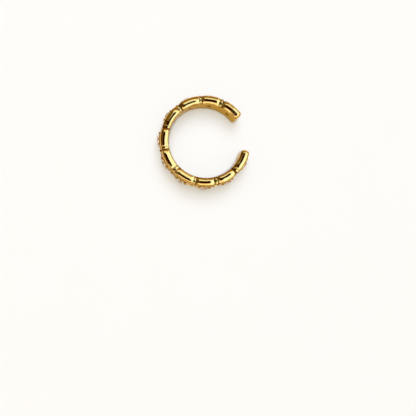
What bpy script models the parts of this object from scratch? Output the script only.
"""An ear cuff: a cast C-shaped band of polished segments, with three clear stones set in each.

The cuff lies on its side, as it rests by itself: its axis is +Z and its mouth faces +X.
The origin is under the middle of its footprint. Lengths are in metres and angles in degrees.
"""

import math

import bmesh
import bpy
from mathutils import Matrix, Vector

# The band
RIM_RADIUS = 0.00600
WALL = 0.00113
BAND_WIDTH = 0.00300
MOUTH_ANGLE = 49.0
SEGMENTS = 10

# The half-round rims, and the flat on their crest that the cuff rests on
RIM_HEIGHT = 0.00072
REST_LAND = 0.00030

# The panel between the rims, which swells outwards in each segment and carries the stones
PANEL_SINK = 0.00015
PANEL_SWELL = 0.00010
PANEL_CROWN = 0.00010
PANEL_STEP = 0.00008

# The joints between segments: a narrow bar between two grooves
BAR_WIDTH = 0.00026
BAR_DROP = 0.00003
GROOVE_WIDTH = 0.00020
GROOVE_DEPTH = 0.00018
SHOULDER_DROP = 0.00005

# The rounded tips
TIP_LENGTH = 0.00045
TIP_WALL_SHARE = 0.45
TIP_WIDTH_SHARE = 0.78

# The stones, as shares of their own diameter where a cutter would give shares
CENTRE_STONE = 0.00115
SIDE_STONE = 0.00055
STONE_SPACING = 0.00014
STONE_CLEARANCE = 0.00003
SETTING_DEPTH = 0.00006
TABLE_SHARE = 0.56
CROWN_SHARE = 0.15
GIRDLE_SHARE = 0.05
PAVILION_SHARE = 0.43
STONE_FACETS = 8

# The seats, the claws and the open hole behind each centre stone
LIGHT_HOLE = 0.00060
SEAT_TIP = 0.00010
CLAW_WIDTH = 0.00018
CLAW_ROOT = 0.00015
MAIN_CLAW_RISE = 0.00020
END_CLAW_RISE = 0.00012
CLAW_TAPER = 0.60
END_CLAW_ANGLE = 45.0

# How finely round shapes are divided
BODY_STEPS = 5
TIP_STEPS = 4
OUTER_STEPS = 4
INNER_STEPS = 3
SEAT_SIDES = 12
CLAW_SIDES = 6

# Places that follow from the sizes above
MID_RADIUS = RIM_RADIUS - WALL / 2
FIRST_ANGLE = MOUTH_ANGLE / 2
PITCH = (360.0 - MOUTH_ANGLE) / SEGMENTS
SIDE_OFFSET = (CENTRE_STONE + SIDE_STONE) / 2 + STONE_SPACING


def clear_scene():
    """Remove whatever the scene holds."""
    for thing in list(bpy.data.objects):
        bpy.data.objects.remove(thing, do_unlink=True)


def make_material(name, colour, metallic, roughness, alpha=1.0):
    """A Principled material with the given linear colour."""
    material = bpy.data.materials.new(name)
    material.use_nodes = True
    shader = material.node_tree.nodes["Principled BSDF"]
    shader.inputs["Base Color"].default_value = (*colour, 1.0)
    shader.inputs["Metallic"].default_value = metallic
    shader.inputs["Roughness"].default_value = roughness
    shader.inputs["Alpha"].default_value = alpha
    return material


def make_object(name, bm, material):
    """Turn a bmesh into a named object, with its faces pointing out."""
    bmesh.ops.recalc_face_normals(bm, faces=bm.faces)
    mesh = bpy.data.meshes.new(name)
    bm.to_mesh(mesh)
    bm.free()
    mesh.materials.append(material)
    thing = bpy.data.objects.new(name, mesh)
    bpy.context.collection.objects.link(thing)
    return thing


def hide_helper(thing):
    """Mark a shape that only cuts or joins another."""
    thing.hide_render = True
    thing.display_type = "WIRE"
    return thing


def arc_degrees(length, radius):
    """The angle that a length along the band takes up at a radius."""
    return math.degrees(length / radius)


def segment_middle(index):
    """The angle of a segment's middle; segments count up from the mouth's +Y side."""
    return FIRST_ANGLE + PITCH * (index + 0.5)


# The band's shape

def panel_radius(angle):
    """The panel's radius halfway across the band: a swell in each segment, low at its ends."""
    share = ((angle - FIRST_ANGLE) / PITCH) % 1.0
    swell = math.sin(math.pi * share) ** 2
    return RIM_RADIUS - PANEL_SINK + (PANEL_SINK + PANEL_SWELL) * swell


def quarter(crest, side, steps):
    """Points of a quarter ellipse from a crest point to a side point, as (radius, height)."""
    points = []
    for step in range(steps + 1):
        turn = math.pi / 2 * step / steps
        radius = crest[0] + (side[0] - crest[0]) * math.sin(turn)
        height = side[1] + (crest[1] - side[1]) * math.cos(turn)
        points.append((radius, height))
    return points


def section(angle, cut):
    """The band's closed outline at an angle, with its rims cut back by a groove's depth there."""
    half_land = REST_LAND / 2
    outer_rim = quarter((MID_RADIUS + half_land, cut), (RIM_RADIUS - cut, RIM_HEIGHT), OUTER_STEPS)
    inner_rim = quarter((MID_RADIUS - half_land, cut), (RIM_RADIUS - WALL, RIM_HEIGHT), INNER_STEPS)
    crown = panel_radius(angle)
    panel_edge = (crown - PANEL_CROWN, RIM_HEIGHT + PANEL_STEP)
    outer_half = outer_rim + [panel_edge]
    lower = outer_half + [(crown, BAND_WIDTH / 2)]
    upper = [(radius, BAND_WIDTH - height) for radius, height in reversed(outer_half)]
    inner_upper = [(radius, BAND_WIDTH - height) for radius, height in inner_rim]
    return lower + upper + inner_upper + inner_rim[::-1]


def shrink(points, wall_share, width_share):
    """Draw an outline in towards the middle of the band's wall and width."""
    middle = BAND_WIDTH / 2
    return [(MID_RADIUS + (radius - MID_RADIUS) * wall_share, middle + (height - middle) * width_share)
            for radius, height in points]


def tip_rows():
    """The rounded tip, from its end inwards: distance, share of the wall, share of the width."""
    rows = []
    for step in range(TIP_STEPS):
        turn = math.pi / 2 * step / TIP_STEPS
        swell = math.sin(turn)
        rows.append((TIP_LENGTH * (1.0 - math.cos(turn)),
                     TIP_WALL_SHARE + (1.0 - TIP_WALL_SHARE) * swell,
                     TIP_WIDTH_SHARE + (1.0 - TIP_WIDTH_SHARE) * swell))
    return rows


def joint_rows():
    """One side of a joint, from its middle outwards: distance along the band, depth of the cut."""
    bar_edge = BAR_WIDTH / 2
    return [(bar_edge, BAR_DROP),
            (bar_edge + GROOVE_WIDTH / 2, GROOVE_DEPTH),
            (bar_edge + GROOVE_WIDTH, SHOULDER_DROP)]


def band_rings():
    """Every outline along the band, from one tip to the other, each with its angle."""
    rings = []
    last_angle = 360.0 - FIRST_ANGLE

    for distance, wall_share, width_share in tip_rows():
        angle = FIRST_ANGLE + arc_degrees(distance, MID_RADIUS)
        rings.append((angle, shrink(section(angle, 0.0), wall_share, width_share)))

    body_start = FIRST_ANGLE + arc_degrees(TIP_LENGTH, MID_RADIUS)
    joint_reach = arc_degrees(joint_rows()[-1][0], MID_RADIUS)
    for index in range(SEGMENTS):
        is_last = index == SEGMENTS - 1
        joint = FIRST_ANGLE + PITCH * (index + 1)
        tip_reach = arc_degrees(TIP_LENGTH, MID_RADIUS)
        body_end = last_angle - tip_reach if is_last else joint - joint_reach
        first_step = 0 if index == 0 else 1
        last_step = BODY_STEPS + 1 if is_last else BODY_STEPS
        for step in range(first_step, last_step):
            angle = body_start + (body_end - body_start) * step / BODY_STEPS
            rings.append((angle, section(angle, 0.0)))
        if not is_last:
            for distance, cut in reversed(joint_rows()):
                angle = joint - arc_degrees(distance, MID_RADIUS)
                rings.append((angle, section(angle, cut)))
            for distance, cut in joint_rows():
                angle = joint + arc_degrees(distance, MID_RADIUS)
                rings.append((angle, section(angle, cut)))
        body_start = joint + joint_reach

    for distance, wall_share, width_share in reversed(tip_rows()):
        angle = last_angle - arc_degrees(distance, MID_RADIUS)
        rings.append((angle, shrink(section(angle, 0.0), wall_share, width_share)))
    return rings


def build_band(material):
    """Loft the rings into one closed band with flat tips."""
    bm = bmesh.new()
    loops = []
    for angle, points in band_rings():
        turn = math.radians(angle)
        loops.append([bm.verts.new((radius * math.cos(turn), radius * math.sin(turn), height))
                      for radius, height in points])
    for here, there in zip(loops, loops[1:]):
        for index in range(len(here)):
            after = (index + 1) % len(here)
            bm.faces.new((here[index], there[index], there[after], here[after]))
    bm.faces.new(loops[0])
    bm.faces.new(reversed(loops[-1]))
    return make_object("cuff_frame", bm, material)


# Places on the panel

def panel_frame(angle, height):
    """A frame on the panel: X along the band, Y across it, Z straight out of the surface."""
    small = 0.01
    turn = math.radians(angle)
    radius = panel_radius(angle)
    slope = (panel_radius(angle + small) - panel_radius(angle - small)) / math.radians(2 * small)
    outwards = Vector((math.cos(turn), math.sin(turn), 0.0))
    along = Vector((-math.sin(turn), math.cos(turn), 0.0))
    tangent = (outwards * slope + along * radius).normalized()
    across = Vector((0.0, 0.0, 1.0))
    normal = tangent.cross(across)
    frame = Matrix((tangent, across, normal)).transposed().to_4x4()
    frame.translation = outwards * radius + across * (BAND_WIDTH / 2 + height)
    return frame


def stone_places():
    """Each stone as (name, diameter, frame at its girdle's lower edge)."""
    places = []
    for index in range(SEGMENTS):
        middle = segment_middle(index)
        side_turn = arc_degrees(SIDE_OFFSET, panel_radius(middle))
        sink = Matrix.Translation((0.0, 0.0, -SETTING_DEPTH))
        places.append((f"centre_stone_{index + 1:02d}", CENTRE_STONE, panel_frame(middle, 0.0) @ sink))
        for side, direction in enumerate((-1, 1)):
            name = f"side_stone_{2 * index + side + 1:02d}"
            frame = panel_frame(middle + direction * side_turn, 0.0) @ sink
            places.append((name, SIDE_STONE, frame))
    return places


def claw_spots():
    """One segment's claws as (distance along, height across, rise)."""
    margin = 2 * STONE_CLEARANCE + CLAW_WIDTH / 2
    from_centre = CENTRE_STONE / 2 + margin
    from_side = SIDE_STONE / 2 + margin
    shared_along = (from_centre ** 2 - from_side ** 2 + SIDE_OFFSET ** 2) / (2 * SIDE_OFFSET)
    shared_across = math.sqrt(max(from_centre ** 2 - shared_along ** 2, 0.0))
    end_turn = math.radians(END_CLAW_ANGLE)
    end_along = SIDE_OFFSET + from_side * math.cos(end_turn)
    end_across = from_side * math.sin(end_turn)
    spots = []
    for direction in (-1, 1):
        for half in (-1, 1):
            spots.append((direction * shared_along, half * shared_across, MAIN_CLAW_RISE))
            spots.append((direction * end_along, half * end_across, END_CLAW_RISE))
    return spots


# Shapes set in the panel

def turned_shape(bm, profile, sides, frame):
    """Add a closed shape turned about its frame's Z, from (radius, height) pairs, bottom to top."""
    rings = []
    for radius, height in profile:
        ring = []
        for side in range(sides):
            turn = 2 * math.pi * (side + 0.5) / sides
            ring.append(bm.verts.new(frame @ Vector((radius * math.cos(turn), radius * math.sin(turn), height))))
        rings.append(ring)
    for lower, upper in zip(rings, rings[1:]):
        for side in range(sides):
            after = (side + 1) % sides
            bm.faces.new((lower[side], lower[after], upper[after], upper[side]))
    bm.faces.new(reversed(rings[0]))
    bm.faces.new(rings[-1])


def seat_profile(diameter, hole_width, hole_depth):
    """A seat that follows the stone's lower cone with a clearance, open above the girdle."""
    flats = 1.0 / math.cos(math.pi / SEAT_SIDES)
    reach = diameter / 2 + STONE_CLEARANCE
    slope = (PAVILION_SHARE * diameter) / (diameter / 2)
    hole = hole_width / 2
    cone_foot = -(reach - hole) * slope
    above = WALL
    profile = [(hole * flats, cone_foot), (reach * flats, 0.0), (reach * flats, above)]
    if hole_depth:
        profile.insert(0, (hole * flats, -hole_depth))
    return profile


def build_seats(material):
    """All the seats as one cutter; those of the centre stones go right through the wall."""
    through = 2 * WALL
    bm = bmesh.new()
    for name, diameter, frame in stone_places():
        if name.startswith("centre"):
            profile = seat_profile(diameter, LIGHT_HOLE, through)
        else:
            profile = seat_profile(diameter, SEAT_TIP, 0.0)
        turned_shape(bm, profile, SEAT_SIDES, frame)
    return hide_helper(make_object("seats", bm, material))


def build_claws(material):
    """All the claws as one shape, which is joined to the band."""
    bm = bmesh.new()
    for index in range(SEGMENTS):
        middle = segment_middle(index)
        for along, across, rise in claw_spots():
            frame = panel_frame(middle + arc_degrees(along, panel_radius(middle)), across)
            profile = [(CLAW_WIDTH / 2, -CLAW_ROOT), (CLAW_TAPER * CLAW_WIDTH / 2, rise)]
            turned_shape(bm, profile, CLAW_SIDES, frame)
    return hide_helper(make_object("claws", bm, material))


def stone_mesh(diameter, material):
    """A round stone with a table and facets, its girdle's lower edge at height 0."""
    girdle = GIRDLE_SHARE * diameter
    rings = [(diameter / 2, 0.0, 0.0),
             (diameter / 2, girdle, 0.0),
             (TABLE_SHARE * diameter / 2, girdle + CROWN_SHARE * diameter, 0.5)]
    bm = bmesh.new()
    bm.verts.new((0.0, 0.0, -PAVILION_SHARE * diameter))
    for radius, height, shift in rings:
        for side in range(STONE_FACETS):
            turn = 2 * math.pi * (side + shift) / STONE_FACETS
            bm.verts.new((radius * math.cos(turn), radius * math.sin(turn), height))
    bmesh.ops.convex_hull(bm, input=bm.verts)
    bmesh.ops.recalc_face_normals(bm, faces=bm.faces)
    mesh = bpy.data.meshes.new("round_stone")
    bm.to_mesh(mesh)
    bm.free()
    mesh.materials.append(material)
    return mesh


def build_stones(material):
    """One object for each stone; stones of one size share their mesh."""
    meshes = {CENTRE_STONE: stone_mesh(CENTRE_STONE, material), SIDE_STONE: stone_mesh(SIDE_STONE, material)}
    stones = []
    for name, diameter, frame in stone_places():
        stone = bpy.data.objects.new(name, meshes[diameter])
        bpy.context.collection.objects.link(stone)
        stone.matrix_world = frame
        stones.append(stone)
    return stones


def add_boolean(thing, operand, operation):
    """Join another shape to this one or cut it away."""
    modifier = thing.modifiers.new(operand.name, "BOOLEAN")
    modifier.operation = operation
    modifier.solver = "EXACT"
    modifier.object = operand


def stand_on_origin(things):
    """Parent everything to one empty, moved so that the footprint's middle is at the origin."""
    corners = [thing.matrix_world @ vertex.co for thing in things for vertex in thing.data.vertices]
    low = [min(corner[axis] for corner in corners) for axis in range(2)]
    high = [max(corner[axis] for corner in corners) for axis in range(2)]
    centre = bpy.data.objects.new("cuff_centre", None)
    bpy.context.collection.objects.link(centre)
    for thing in things:
        thing.parent = centre
    centre.location = (-(low[0] + high[0]) / 2, -(low[1] + high[1]) / 2, 0.0)
    bpy.context.view_layer.update()


def main():
    clear_scene()
    gold = make_material("polished_gold_plate", (0.80, 0.52, 0.16), 1.0, 0.10)
    clear_stone = make_material("clear_stone", (0.93, 0.93, 0.95), 0.0, 0.02, 0.5)
    band = build_band(gold)
    claws = build_claws(gold)
    seats = build_seats(gold)
    add_boolean(band, claws, "UNION")
    add_boolean(band, seats, "DIFFERENCE")
    stones = build_stones(clear_stone)
    bpy.context.view_layer.update()
    stand_on_origin([band, claws] + stones + [seats])


main()
